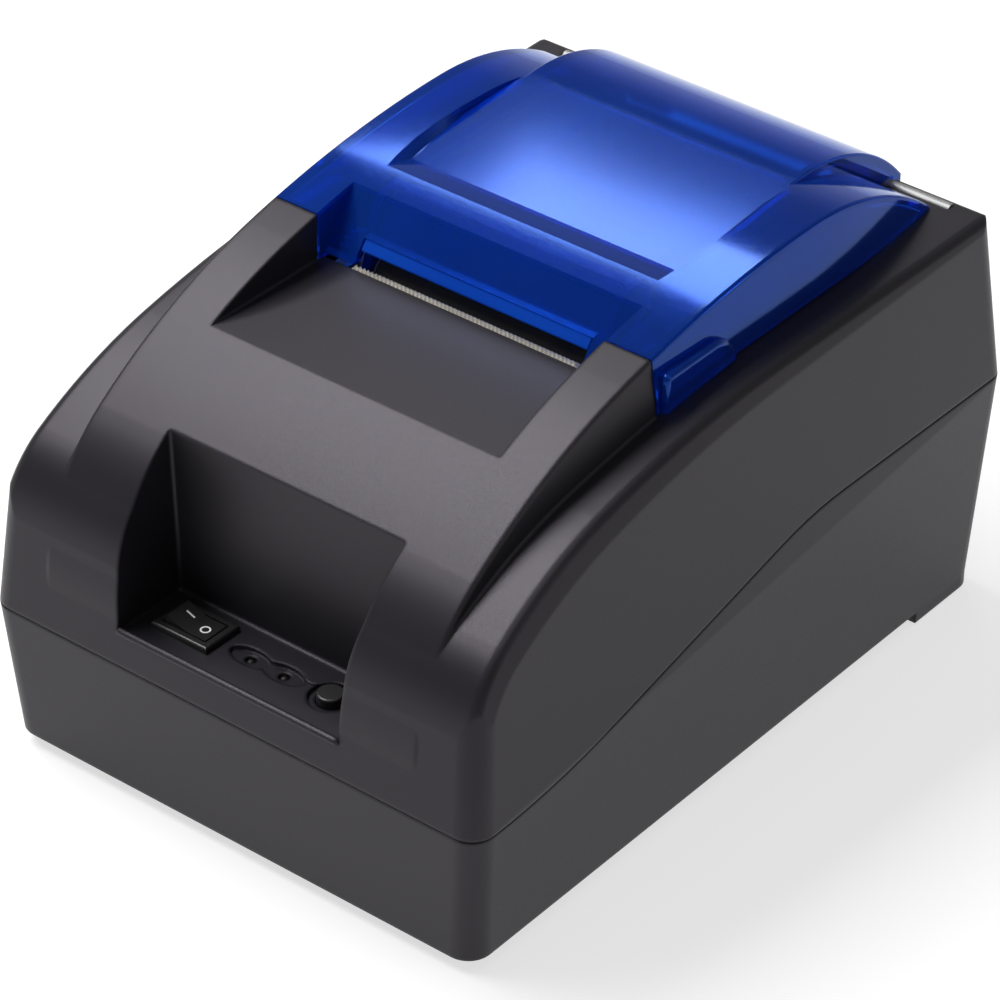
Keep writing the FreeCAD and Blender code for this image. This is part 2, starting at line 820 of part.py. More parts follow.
def cover_shell():
    reach = body_half_width
    seat = fender_top() + cover_seat_gap
    body = band_block(0.0).common(box(-reach, reach, cover_front, 2 * reach, 0, loft_top))
    body = body.cut(recess_cutter(0.0)).cut(exit_cutter(0.0))
    for grip in both_sides(cover_grip()):
        body = body.fuse(grip)
    body = body.cut(fender_prism(-cover_seat_gap))
    body = body.fuse(hump_block(0.0, seat, hump_lip))
    shell = body.cut(cover_cavity())
    foot = deck_height + cover_seat_gap
    half = exit_half_width + cover_gap
    front = cover_front - cover_gap
    back = exit_wall_foot[0] + slot_reach
    shell = shell.cut(box(-half, half, front, back, 0, foot))
    shell = shell.cut(box(-slot_half_width, slot_half_width, front, back, 0, slot_height))
    knuckles = []
    for x in (knuckle_inner_x, -knuckle_inner_x - knuckle_width):
        web = box(x, x + knuckle_width, hinge_y - knuckle_web, hinge_y + knuckle_web, hinge_height, loft_top)
        knuckles.append(rod_x(hinge_y, hinge_height, knuckle_radius, x, x + knuckle_width))
        knuckles.append(web.common(hump_block(0.5 * cover_wall, hinge_height, hinge_height - knuckle_web)))
    shell = fuse_all([shell] + knuckles)
    return shell.cut(rod_x(hinge_y, hinge_height, hinge_rod_radius + rod_clearance, -reach, reach))


def hinge_rod():
    half = hinge_rod_half_length - rod_clearance
    return rod_x(hinge_y, hinge_height, hinge_rod_radius, -half, half)


def platen_holder():
    """Arms under the cover that carry the platen, joined by a panel behind the paper slot."""
    arm_in = holder_arm_x
    arm_out = holder_arm_x + holder_arm_thickness
    ring = bush_radius + holder_ring
    a0, a1 = exit_line(holder_gap)
    b0, b1 = exit_line(holder_gap + holder_arm_thickness)
    panel_foot = platen_height + platen_radius + holder_clearance
    panel = prism_x([a0, a1, b1, b0], -arm_out, arm_out)
    panel = panel.cut(box(-arm_out, arm_out, -body_half_depth, body_half_depth, 0, panel_foot))
    parts = [panel]
    top_y = platen_y + holder_lean
    for x0, x1 in ((arm_in, arm_out), (-arm_out, -arm_in)):
        parts.append(rod_x(platen_y, platen_height, ring, x0, x1))
        parts.append(prism_x([(platen_y - ring, platen_height), (platen_y + ring, platen_height),
                              (top_y + ring, loft_top), (top_y - ring, loft_top)], x0, x1))
    solid = fuse_all(parts).common(cover_cavity())
    return solid.cut(rod_x(platen_y, platen_height, bush_radius, -arm_out, arm_out))


def platen_bushes():
    bushes = []
    for x0, x1 in ((bush_inner_x, bush_outer_x), (-bush_outer_x, -bush_inner_x)):
        outer = rod_x(platen_y, platen_height, bush_radius, x0, x1)
        bushes.append(outer.cut(rod_x(platen_y, platen_height, shaft_radius + running_clearance, x0, x1)))
    return Part.makeCompound(bushes)


def gear_face_x():
    return -(frame_plate_x + frame_plate_thickness + gear_gap)


def gear_outline(teeth, phase, centre):
    """Involute outline about centre (y, z); one tooth is centred on the angle phase (degrees)."""
    pitch = 0.5 * gear_module * teeth
    base = pitch * math.cos(math.radians(pressure_angle))
    tip = pitch + tooth_addendum * gear_module
    root = pitch - tooth_dedendum * gear_module
    start = max(root, base)

    def spread(radius):
        angle = math.acos(min(1.0, base / radius))
        return math.tan(angle) - angle

    half = 0.25 * 2.0 * math.pi / teeth - 0.25 * gear_backlash / pitch + spread(pitch)
    radii = [start + (tip - start) * k / 3.0 for k in range(4)]
    flank = [(root, half - spread(start))] if root < start else []
    flank += [(radius, half - spread(radius)) for radius in radii]
    points = []
    for tooth in range(teeth):
        middle = math.radians(phase) + 2.0 * math.pi * tooth / teeth
        angles = [(radius, middle - turn) for radius, turn in flank]
        angles += [(radius, middle + turn) for radius, turn in reversed(flank)]
        points += [(centre[0] + r * math.cos(a), centre[1] + r * math.sin(a)) for r, a in angles]
    return points


def spur_gear(teeth, phase, centre, bore):
    x1 = gear_face_x()
    x0 = x1 - gear_width
    blank = prism_x(gear_outline(teeth, phase, centre), x0, x1)
    return blank.cut(rod_x(centre[0], centre[1], bore, x0, x1))


platen_centre = (platen_y, platen_height)
idler_angle = -90.0 + idler_lean
idler_distance = 0.5 * gear_module * (platen_teeth + idler_teeth)
idler_centre = (platen_y + idler_distance * math.cos(math.radians(idler_angle)),
                platen_height + idler_distance * math.sin(math.radians(idler_angle)))
pinion_distance = 0.5 * gear_module * (idler_teeth + pinion_teeth)
motor_centre = (idler_centre[0] + pinion_distance * math.cos(math.radians(pinion_direction)),
                idler_centre[1] + pinion_distance * math.sin(math.radians(pinion_direction)))
idler_phase = idler_angle + 180.0 + 180.0 / idler_teeth
pinion_offset = (pinion_direction - idler_phase) % (360.0 / idler_teeth)
pinion_phase = pinion_direction + 180.0 + pinion_offset * idler_teeth / pinion_teeth + 180.0 / pinion_teeth


def gear_end_x():
    return gear_face_x() - gear_width


def platen_shaft():
    left = gear_end_x() - shaft_overhang
    right = bush_outer_x + shaft_overhang
    return rod_x(platen_y, platen_height, shaft_radius, left, right)


def platen_rubber():
    outer = rod_x(platen_y, platen_height, platen_radius, -platen_half_length, platen_half_length)
    return outer.cut(rod_x(platen_y, platen_height, shaft_radius, -platen_half_length, platen_half_length))


def idler_post():
    y, z = idler_centre
    plate = -frame_plate_x - frame_plate_thickness
    pin_end = gear_end_x() - idler_play
    parts = [rod_x(y, z, idler_post_radius, pin_end, -frame_plate_x),
             rod_x(y, z, idler_post_radius + idler_collar, gear_face_x() + idler_play, plate),
             rod_x(y, z, idler_post_radius + idler_collar, pin_end - idler_cap, pin_end)]
    return fuse_all(parts)


def motor_body():
    y, z = motor_centre
    plate = -frame_plate_x
    inner = plate + motor_length - motor_ear_thickness
    can = rod_x(y, z, motor_radius, plate, plate + motor_length)
    ears = box(plate, plate + motor_ear_thickness, y - motor_ear_half, y + motor_ear_half,
               z - motor_ear, z + motor_ear)
    boss = rod_x(y, z, motor_boss_radius, plate - frame_plate_thickness, plate)
    bore = rod_x(y, z, motor_shaft_radius + running_clearance, plate - frame_plate_thickness, inner)
    solid = fuse_all([can, ears, boss]).cut(bore)
    hole = motor_screw_radius + thread_clearance
    for hole_z in motor_screw_heights():
        solid = solid.cut(rod_x(y, hole_z, hole, plate, plate + motor_ear_thickness))
    return solid


def motor_screw_heights():
    reach = 0.5 * (motor_radius + motor_ear)
    return (motor_centre[1] - reach, motor_centre[1] + reach)


def motor_screws():
    outer = -frame_plate_x - frame_plate_thickness
    inner = -frame_plate_x + motor_ear_thickness
    screws = []
    for z in motor_screw_heights():
        head = rod_x(motor_centre[0], z, motor_head_radius, outer - motor_head_depth, outer)
        shank = rod_x(motor_centre[0], z, motor_screw_radius, outer, inner)
        screws.append(head.fuse(shank).removeSplitter())
    return Part.makeCompound(screws)


def motor_shaft():
    y, z = motor_centre
    inner = -frame_plate_x + motor_length - 2.0 * motor_ear_thickness
    return rod_x(y, z, motor_shaft_radius, gear_end_x() - shaft_overhang, inner)


def mechanism_frame():
    t = frame_plate_thickness
    out = frame_plate_x + t
    bottom = platform_height
    top = platen_height + frame_cheek
    front_corner = platen_y - frame_cheek_half
    outline = [(frame_front, bottom), (frame_rear(), bottom), (frame_rear(), motor_centre[1] + motor_radius),
               (platen_y + frame_cheek_half, top), (front_corner, top),
               (front_corner, top - frame_step), (frame_front, top - 2.0 * frame_step)]
    web_top = pivot_height + spring_bend_rise + frame_step
    parts = [prism_x(outline, frame_plate_x, out), prism_x(outline, -out, -frame_plate_x),
             box(-out, out, frame_front, frame_rear(), bottom, bottom + t),
             box(-out, out, frame_front, frame_front + t, bottom, web_top)]
    solid = fuse_all(parts)
    r = bush_radius + slot_clearance
    flare = frame_cheek * math.tan(math.radians(slot_flare))
    slot = prism_x([(platen_y - r, platen_height), (platen_y + r, platen_height),
                    (platen_y + r + flare, top), (platen_y - r - flare, top)], -out, out)
    cuts = [slot, rod_x(platen_y, platen_height, r, -out, out),
            rod_x(pivot_y(), pivot_height, pivot_radius, -out, out),
            rod_x(idler_centre[0], idler_centre[1], idler_post_radius, -out, -frame_plate_x),
            rod_x(motor_centre[0], motor_centre[1], motor_boss_radius, -out, -frame_plate_x),
            cable_slot()]
    hole = motor_screw_radius + thread_clearance
    cuts += [rod_x(motor_centre[0], z, hole, -out, -frame_plate_x) for z in motor_screw_heights()]
    cuts += [rod_z(x, y, screw_radius + screw_clearance, bottom, bottom + t) for x, y in frame_screw_places()]
    for cut in cuts:
        solid = solid.cut(cut)
    return solid


def frame_rear():
    return motor_centre[0] + motor_radius + frame_tail


def frame_screw_places():
    x = frame_plate_x - frame_screw_inset
    return four(x, pivot_y() + frame_screw_inset, frame_rear() - frame_screw_inset)


def cable_y():
    return frame_front + cable_set_back


def cable_slot():
    """Opening for the cable through the frame's bottom and the platform."""
    reach = cable_half_width + cable_slot_margin
    return box(-reach, reach, cable_y() - cable_slot_margin, cable_y() + cable_slot_margin,
               platform_height - platform_thickness, platform_height + frame_plate_thickness)


def head_face():
    return platen_y - platen_radius - head_gap


def sink_back():
    return head_face() - head_thickness - sink_thickness


def pivot_y():
    return sink_back() + 0.5 * sink_thickness


def sink_top():
    return platen_height + head_reach


def thermal_head():
    y = head_face()
    half = platen_half_length - head_end_margin
    top = sink_top() - head_top_margin
    return box(-half, half, y - head_thickness, y, top - head_height, top)


def heat_sink():
    y0 = sink_back()
    y1 = y0 + sink_thickness
    w = sink_knuckle_width
    low = pivot_height + sink_knuckle_radius
    parts = [box(-sink_half_width, sink_half_width, y0, y1, low, sink_top())]
    for x0 in (sink_half_width - w, -sink_half_width):
        parts.append(box(x0, x0 + w, y0, y1, pivot_height, low))
        parts.append(rod_x(pivot_y(), pivot_height, sink_knuckle_radius, x0, x0 + w))
    bore = rod_x(pivot_y(), pivot_height, pivot_radius + running_clearance, -sink_half_width, sink_half_width)
    return fuse_all(parts).cut(bore)


def head_pivot_pin():
    out = frame_plate_x + frame_plate_thickness
    return rod_x(pivot_y(), pivot_height, pivot_radius, -out, out)


def head_spring():
    """Leaf spring on the rear of the frame's front web, leaning towards the back of the heat sink."""
    t = spring_thickness
    foot = frame_front + frame_plate_thickness
    tip = sink_back() - touch_gap
    bend = pivot_height + spring_bend_rise
    top = bend + spring_leaf_rise
    run = tip - foot - t
    length = math.hypot(run, spring_leaf_rise)
    dy = t * spring_leaf_rise / length
    dz = t * run / length
    low = bend - spring_foot_height
    points = [(foot, low), (foot + t, low), (foot + t, bend),
              (tip, top), (tip - dy, top + dz), (foot, bend + dz)]
    return prism_x(points, -spring_half_width, spring_half_width)


def head_cable():
    """Flat cable from the heat sink down through the platform to the board."""
    half = 0.5 * cable_thickness
    w = cable_half_width
    high = pivot_height + cable_rise
    low = board_top + cable_lift
    end = board_front + connector_depth - connector_wall
    parts = [box(-w, w, cable_y() + cable_top_bend, sink_back() - touch_gap, high - half, high + half),
             box(-w, w, cable_y() - half, cable_y() + half, low + cable_bend, high - cable_top_bend),
             box(-w, w, cable_y() + cable_bend, end, low - half, low + half)]
    for radius, z, side in ((cable_top_bend, high - cable_top_bend, 1), (cable_bend, low + cable_bend, -1)):
        y = cable_y() + radius
        reach = radius + cable_thickness
        ring = rod_x(y, z, radius + half, -w, w).cut(rod_x(y, z, radius - half, -w, w))
        low_z, high_z = sorted((z, z + side * reach))
        parts.append(ring.common(box(-w, w, y - reach, y, low_z, high_z)))
    return fuse_all(parts)


def tear_bar():
    """Thin steel strip on the deck's rear edge with a row of saw teeth."""
    half = tear_bar_half_width
    foot = deck_height - tear_bar_depth
    count = int(2.0 * half / tooth_pitch)
    left = -0.5 * count * tooth_pitch
    points = [(-half, foot), (half, foot), (half, deck_height)]
    for k in range(count, 0, -1):
        points.append((left + (k - tooth_land) * tooth_pitch, deck_height))
        points.append((left + (k - 0.5) * tooth_pitch, deck_height + tooth_height))
        points.append((left + (k - 1.0 + tooth_land) * tooth_pitch, deck_height))
    points.append((-half, deck_height))
    return prism_y(points, deck_rear, deck_rear + tear_bar_thickness)


def flange_top():
    return fender_top() - wall


def paper_chassis():
    """Roll bucket with its flange under the housing's roof, platforms and four posts."""
    out = bucket_half_width + bucket_wall
    r = bucket_radius + bucket_wall
    top = flange_top()
    low = platform_height - platform_thickness
    w = chassis_half_width
    front = roll_y - r
    rear = roll_y + r
    trough = rod_x(roll_y, roll_height, r, -out, out).common(box(-out, out, front, rear, 0, roll_height))
    flange = box(-flange_half_width, flange_half_width, front - flange_lead, rear, top - bucket_wall, top)
    parts = [trough, flange, box(-out, out, front, rear, roll_height, top),
             box(-w, w, platform_front, rear, low, platform_height)]
    parts += [rod_z(x, y, post_radius, post_foot, low) for x, y in post_places]
    parts += [rod_z(x, y, post_radius, low - small_screw_length, low) for x, y in frame_screw_places()]
    solid = fuse_all(parts)
    cuts = [rod_x(roll_y, roll_height, bucket_radius, -bucket_half_width, bucket_half_width),
            box(-bucket_half_width, bucket_half_width, roll_y - bucket_radius, roll_y + bucket_radius,
                roll_height, top), cable_slot()]
    pilot = screw_radius + thread_clearance
    cuts += [rod_z(x, y, pilot, post_foot, post_seat + small_screw_length) for x, y in post_places]
    cuts += [rod_z(x, y, pilot, low - small_screw_length, platform_height) for x, y in frame_screw_places()]
    for cut in cuts:
        solid = solid.cut(cut)
    return solid


def paper_sensor():
    y = roll_y - bucket_radius - bucket_wall
    return box(-sensor_half_width, sensor_half_width, y - flange_lead, y + bucket_wall,
               flange_top(), flange_top() + sensor_height)


def main_board():
    slab = box(-board_half_width, board_half_width, board_front, board_rear, board_height, board_top)
    holes = [rod_z(x, y, screw_radius + screw_clearance, board_height, board_top) for x, y in standoff_places]
    return slab.cut(Part.makeCompound(holes))


def board_components():
    """Cable connector, controller chip, driver chip and capacitors standing on the board."""
    w = cable_half_width + connector_margin
    shell = box(-w, w, board_front, board_front + connector_depth, board_top, board_top + 2.0 * cable_lift)
    mouth = cable_half_width + touch_gap
    slot_half = 0.5 * cable_thickness + 0.5 * touch_gap
    level = board_top + cable_lift
    slot_end = board_front + connector_depth - connector_wall + touch_gap
    shell = shell.cut(box(-mouth, mouth, board_front, slot_end, level - slot_half, level + slot_half))
    chips = [box(x - half, x + half, y - half, y + half, board_top, board_top + height)
             for x, y, half, height in chip_places]
    cans = [rod_z(x, y, can_radius, board_top, board_top + can_height) for x, y in can_places]
    return Part.makeCompound([shell] + chips + cans)


def port_box(port):
    x = port_places[port]
    half = 0.5 * port_widths[port]
    return box(x - half, x + half, port_face - port_depths[port], port_face,
               board_top, board_top + port_heights[port])


def usb_port():
    """Square device socket with two clipped upper corners and a tongue."""
    centre = board_top + 0.5 * port_heights["usb"]
    x = 0.5 * usb_mouth[0]
    z = 0.5 * usb_mouth[1]
    c = usb_chamfer
    outline = [(-x, -z), (x, -z), (x, z - c), (x - c, z), (c - x, z), (-x, z - c)]
    mouth = prism_y([(usb_x + dx, centre + dz) for dx, dz in outline], port_face - mouth_depth, port_face)
    tx = 0.5 * usb_tongue[0]
    tz = 0.5 * usb_tongue[1]
    tongue = box(usb_x - tx, usb_x + tx, port_face - mouth_depth, port_face - wall, centre - tz, centre + tz)
    return port_box("usb").cut(mouth).fuse(tongue).removeSplitter()


def drawer_port():
    """Modular jack for a cash drawer, with its latch notch above the plug."""
    floor = board_top + drawer_floor
    x = 0.5 * drawer_mouth[0]
    latch_x = 0.5 * drawer_latch[0]
    top = floor + drawer_mouth[1]
    back = port_face - mouth_depth
    mouth = box(drawer_x - x, drawer_x + x, back, port_face, floor, top)
    latch = box(drawer_x - latch_x, drawer_x + latch_x, back, port_face, top, top + drawer_latch[1])
    return port_box("drawer").cut(mouth.fuse(latch))


def dc_inlet():
    z = board_top + dc_centre_height
    bore = rod_y(dc_x, z, dc_bore_radius, port_face - mouth_depth, port_face)
    pin = rod_y(dc_x, z, dc_pin_radius, port_face - mouth_depth, port_face - 0.5 * wall)
    return port_box("dc").cut(bore).fuse(pin).removeSplitter()


def panel_board():
    low = panel_board_height
    margin = panel_boss_radius
    xs = [x for x, y in panel_screw_places]
    ys = [y for x, y in panel_screw_places]
    slab = box(min(xs) - margin, max(xs) + margin, min(ys) - panel_edge, max(ys) + panel_edge,
               low, panel_top())
    holes = [rod_z(x, y, screw_radius + screw_clearance, low, panel_top()) for x, y in panel_screw_places]
    return slab.cut(Part.makeCompound(holes))


def panel_top():
    return panel_board_height + board_thickness


def tact_switch():
    x = button_x
    half = tact_half_width
    top = panel_top() + tact_height
    shelf = top - tact_plunger_height
    body = box(x - half, x + half, control_y - half, control_y + half, panel_top(), shelf)
    return body.fuse(rod_z(x, control_y, tact_plunger_radius, shelf, top)).removeSplitter()


def status_lights():
    top = niche_floor - pocket_depth
    lights = []
    for x in led_x:
        stem = rod_z(x, control_y, led_radius, panel_top(), top - led_radius)
        dome = Part.makeSphere(led_radius, V(x, control_y, top - led_radius))
        lights.append(stem.fuse(dome).removeSplitter())
    return Part.makeCompound(lights)


def feed_button():
    """Feed button: a cap through the niche floor, a flange that stops it and a stem over the switch."""
    shelf = niche_floor - niche_wall - button_clearance
    stem_foot = panel_top() + tact_height + button_travel + button_clearance
    cap = rod_z(button_x, control_y, button_radius, shelf, niche_floor + button_rise)
    rim = [edge for edge in cap.Edges if abs(edge.CenterOfMass.z - niche_floor - button_rise) < 0.01]
    cap = cap.makeFillet(button_edge_radius, rim)
    flange = rod_z(button_x, control_y, button_flange, shelf - button_flange_height, shelf)
    stem = rod_z(button_x, control_y, button_stem_radius, stem_foot, shelf)
    return fuse_all([cap, flange, stem])


def rocker_height():
    return niche_floor + bezel_height - rocker_waist


def control_box(half_x, half_y, z0, z1):
    """Box centred on the switch."""
    return box(switch_x - half_x, switch_x + half_x, control_y - half_y, control_y + half_y, z0, z1)


def switch_body():
    """Bezel on the niche floor, a hollow body under it, two terminal blades and the rocker's axle holes."""
    half_x = 0.5 * switch_length
    half_y = 0.5 * switch_width
    top = niche_floor + bezel_height
    foot = niche_floor - switch_depth
    bezel = control_box(half_x, half_y, niche_floor, top)
    upper = [edge for edge in bezel.Edges if abs(edge.CenterOfMass.z - top) < 0.01]
    bezel = bezel.makeFillet(bezel_edge_radius, upper)
    parts = [bezel, control_box(half_x - bezel_overhang, half_y - bezel_overhang, foot, niche_floor)]
    for x in (switch_x - blade_x, switch_x + blade_x):
        parts.append(box(x - 0.5 * blade_thickness, x + 0.5 * blade_thickness, control_y - blade_half_width,
                         control_y + blade_half_width, foot - blade_length, foot))
    well_y = half_y - bezel_rim
    well = control_box(half_x - bezel_rim, well_y, niche_floor - well_depth, top)
    end = well_y + axle_length
    axle = rod_y(switch_x, rocker_height(), axle_radius + running_clearance, control_y - end, control_y + end)
    return fuse_all(parts).cut(well).cut(axle)


def switch_rocker():
    """Rocker with a shallow V top, tipped so that its right end lies down."""
    reach = 0.5 * switch_length - bezel_rim - rocker_clearance
    half_y = 0.5 * switch_width - bezel_rim - rocker_clearance
    z = rocker_height()
    drum = rod_y(switch_x, z, reach, control_y - half_y, control_y + half_y)
    rise = reach * math.tan(math.radians(rocker_tilt))
    outline = [(-reach, -rocker_depth), (reach, -rocker_depth), (reach, rocker_waist + rise),
               (0, rocker_waist), (-reach, rocker_waist + rise)]
    wedge = prism_y([(switch_x + dx, z + dz) for dx, dz in outline], control_y - half_y, control_y + half_y)
    axle_end = half_y + rocker_clearance + axle_length - axle_end_gap
    axle = rod_y(switch_x, z, axle_radius, control_y - axle_end, control_y + axle_end)
    solid = drum.common(wedge).fuse(axle).removeSplitter()
    solid.rotate(V(switch_x, control_y, z), V(0, 1, 0), rocker_tilt)
    return solid


def rubber_feet():
    feet = [rod_z(x, y, foot_radius, -foot_height, foot_seat) for x, y in foot_places]
    feet += [rod_z(x, y, heel_pad_radius, -foot_height, foot_seat - heel_drop) for x, y in heel_pad_places]
    return Part.makeCompound(feet)


def export(name, shape):
    shape = shape.copy()
    shape.translate(V(0, 0, foot_height))
    if not shape.isValid() or not shape.Solids:
        print("not valid:", name)
    single = shape.Solids[0] if len(shape.Solids) == 1 else Part.makeCompound(shape.Solids)
    single.exportStep(os.path.join("parts", name + ".step"))


nodes = {
    "lower_base": lower_base,
    "upper_housing": upper_housing,
    "cover_shell": cover_shell,
    "platen_holder": platen_holder,
    "platen_bushes": platen_bushes,
    "hinge_rod": hinge_rod,
    "tear_bar": tear_bar,
    "paper_chassis": paper_chassis,
    "paper_sensor": paper_sensor,
    "mechanism_frame": mechanism_frame,
    "platen_shaft": platen_shaft,
    "platen_rubber": platen_rubber,
    "platen_gear": lambda: spur_gear(platen_teeth, idler_angle, platen_centre, shaft_radius),
    "idler_gear": lambda: spur_gear(idler_teeth, idler_phase, idler_centre,
                                    idler_post_radius + running_clearance),
    "idler_post": idler_post,
    "motor_body": motor_body,
    "motor_shaft": motor_shaft,
    "motor_pinion": lambda: spur_gear(pinion_teeth, pinion_phase, motor_centre, motor_shaft_radius),
    "motor_screws": motor_screws,
    "thermal_head": thermal_head,
    "heat_sink": heat_sink,
    "head_pivot_pin": head_pivot_pin,
    "head_spring": head_spring,
    "head_cable": head_cable,
    "main_board": main_board,
    "board_components": board_components,
    "usb_port": usb_port,
    "drawer_port": drawer_port,
    "dc_inlet": dc_inlet,
    "panel_board": panel_board,
    "tact_switch": tact_switch,
    "status_lights": status_lights,
    "feed_button": feed_button,
    "switch_body": switch_body,
    "switch_rocker": switch_rocker,
    "rubber_feet": rubber_feet,
    "case_screws": lambda: screw_group(case_places, case_seat, 1, case_screw_length),
    "chassis_screws": lambda: screw_group(post_places, post_seat, 1, small_screw_length),
    "board_screws": lambda: screw_group(standoff_places, board_top, -1, board_screw_length),
    "frame_screws": lambda: screw_group(frame_screw_places(), platform_height + frame_plate_thickness, -1,
                                        small_screw_length),
    "panel_screws": lambda: screw_group(panel_screw_places, panel_board_height, 1, small_screw_length),
}


def build():
    os.makedirs("parts", exist_ok=True)
    for name, make in nodes.items():
        export(name, make())


build()
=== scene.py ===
import math

import bmesh
import bpy
from mathutils import Matrix, Vector
from mathutils.bvhtree import BVHTree


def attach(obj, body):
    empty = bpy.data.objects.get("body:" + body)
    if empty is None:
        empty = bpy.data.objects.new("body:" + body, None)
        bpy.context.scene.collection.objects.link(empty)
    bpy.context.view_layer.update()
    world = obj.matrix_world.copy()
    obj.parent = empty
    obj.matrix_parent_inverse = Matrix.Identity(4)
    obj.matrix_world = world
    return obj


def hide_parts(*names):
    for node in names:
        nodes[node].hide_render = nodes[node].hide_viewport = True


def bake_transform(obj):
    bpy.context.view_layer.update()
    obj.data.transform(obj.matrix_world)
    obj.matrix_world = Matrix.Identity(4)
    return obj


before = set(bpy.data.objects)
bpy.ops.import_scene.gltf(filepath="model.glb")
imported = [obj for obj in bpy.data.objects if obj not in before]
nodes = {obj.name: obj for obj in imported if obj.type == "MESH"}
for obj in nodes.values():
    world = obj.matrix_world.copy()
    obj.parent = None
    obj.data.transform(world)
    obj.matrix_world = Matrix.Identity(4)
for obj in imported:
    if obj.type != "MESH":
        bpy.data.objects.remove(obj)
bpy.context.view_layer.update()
print("frame loaded:", len(nodes), "nodes")


def placeObject(name, data):
    made = bpy.data.objects.new(name, data)
    bpy.context.scene.collection.objects.link(made)
    return made


# camera at the photo's viewing angle
cameraView = {
    "place": (0.5053, -0.6455, 0.6102),
    "azimuth": 38.18,
    "elevation": 34.755,
    "roll": 0.83,
    "lens": 168.8,
    "sensor": 36.0,
    "nearest": 0.01,
}


def makeCamera():
    azimuth = math.radians(cameraView["azimuth"])
    elevation = math.radians(cameraView["elevation"])
    roll = math.radians(cameraView["roll"])
    back = Vector((math.sin(azimuth) * math.cos(elevation),
                   -math.cos(azimuth) * math.cos(elevation), math.sin(elevation)))
    right = Vector((0, 0, 1)).cross(back).normalized()
    up = back.cross(right)
    turnedRight = right * math.cos(roll) + up * math.sin(roll)
    turnedUp = up * math.cos(roll) - right * math.sin(roll)
    data = bpy.data.cameras.new("photoCamera")
    data.lens = cameraView["lens"]
    data.sensor_width = cameraView["sensor"]
    data.clip_start = cameraView["nearest"]
    camera = placeObject("photoCamera", data)
    turn = Matrix((turnedRight, turnedUp, back)).transposed().to_4x4()
    camera.matrix_world = Matrix.Translation(Vector(cameraView["place"])) @ turn
    bpy.context.scene.camera = camera


makeCamera()
print("camera set")


# soft studio light: a long level panel over the left side, a small one behind it that the cover mirrors,
# a weak fill overhead and one from the right
softboxes = {
    "leftPanel": {"place": (-0.50, -0.155, 0.90), "aim": (-0.50, -0.155, 0.0),
                  "size": (0.50, 0.85), "watts": 13.5},
    "rearPanel": {"place": (-0.592, 0.715, 0.90), "aim": (-0.592, 0.715, 0.0),
                  "size": (0.26, 0.245), "watts": 1.55},
    "overheadPanel": {"place": (0.30, -0.30, 1.60), "aim": (0, 0, 0.05), "size": (0.9, 0.9), "watts": 1.6},
    "rightPanel": {"place": (1.50, 0.30, 0.70), "aim": (0, 0, 0.05), "size": (0.7, 0.6), "watts": 1.8},
}
stageLook = {"skyline": 0.58, "ceiling": 0.20, "ceilingFrom": 0.38, "floorGlow": 0.66,
             "floorColour": (0.42, 0.42, 0.42, 1.0), "floorSide": 8.0}


def makeLights():
    for name, box in softboxes.items():
        data = bpy.data.lights.new(name, "AREA")
        data.shape = "RECTANGLE"
        data.size, data.size_y = box["size"]
        data.energy = box["watts"]
        light = placeObject(name, data)
        light.location = Vector(box["place"])
        light.rotation_euler = (Vector(box["aim"]) - light.location).to_track_quat("-Z", "Y").to_euler()


def seenDirectly(tree):
    # 1 where the camera, a reflection or a see-through surface looks at the floor
    path = tree.nodes.new("ShaderNodeLightPath")
    seen = path.outputs["Is Camera Ray"]
    for ray in ("Is Glossy Ray", "Is Transmission Ray"):
        either = tree.nodes.new("ShaderNodeMath")
        either.operation = "MAXIMUM"
        tree.links.new(seen, either.inputs[0])
        tree.links.new(path.outputs[ray], either.inputs[1])
        seen = either.outputs[0]
    return seen


def makeWorld():
    # pale at the skyline, greyer towards the ceiling
    world = bpy.data.worlds.new("paleStudio")
    bpy.context.scene.world = world
    world.use_nodes = True
    tree = world.node_tree
    background = tree.nodes["Background"]
    background.inputs["Color"].default_value = (1.0, 1.0, 1.0, 1.0)
    direction = tree.nodes.new("ShaderNodeTexCoord")
    parts = tree.nodes.new("ShaderNodeSeparateXYZ")
    level = tree.nodes.new("ShaderNodeMapRange")
    level.inputs["From Max"].default_value = stageLook["ceilingFrom"]
    level.inputs["To Min"].default_value = stageLook["skyline"]
    level.inputs["To Max"].default_value = stageLook["ceiling"]
    tree.links.new(direction.outputs["Generated"], parts.inputs["Vector"])
    tree.links.new(parts.outputs["Z"], level.inputs["Value"])
    tree.links.new(level.outputs["Result"], background.inputs["Strength"])


def makeFloor():
    half = 0.5 * stageLook["floorSide"]
    corners = [(-half, -half, 0), (half, -half, 0), (half, half, 0), (-half, half, 0)]
    mesh = bpy.data.meshes.new("paleFloor")
    mesh.from_pydata(corners, [], [(0, 1, 2, 3)])
    floor = placeObject("paleFloor", mesh)
    material = bpy.data.materials.new("paleFloor")
    material.use_nodes = True
    tree = material.node_tree
    tree.nodes.remove(tree.nodes["Principled BSDF"])
    matt = tree.nodes.new("ShaderNodeBsdfDiffuse")
    matt.inputs["Color"].default_value = stageLook["floorColour"]
    glow = tree.nodes.new("ShaderNodeEmission")
    level = tree.nodes.new("ShaderNodeMapRange")
    level.inputs["To Max"].default_value = stageLook["floorGlow"]
    both = tree.nodes.new("ShaderNodeAddShader")
    tree.links.new(seenDirectly(tree), level.inputs["Value"])
    tree.links.new(level.outputs["Result"], glow.inputs["Strength"])
    tree.links.new(matt.outputs[0], both.inputs[0])
    tree.links.new(glow.outputs[0], both.inputs[1])
    tree.links.new(both.outputs[0], tree.nodes["Material Output"].inputs["Surface"])
    mesh.materials.append(material)


makeLights()
makeWorld()
makeFloor()
bpy.context.scene.view_settings.view_transform = "Standard"
print("studio set")


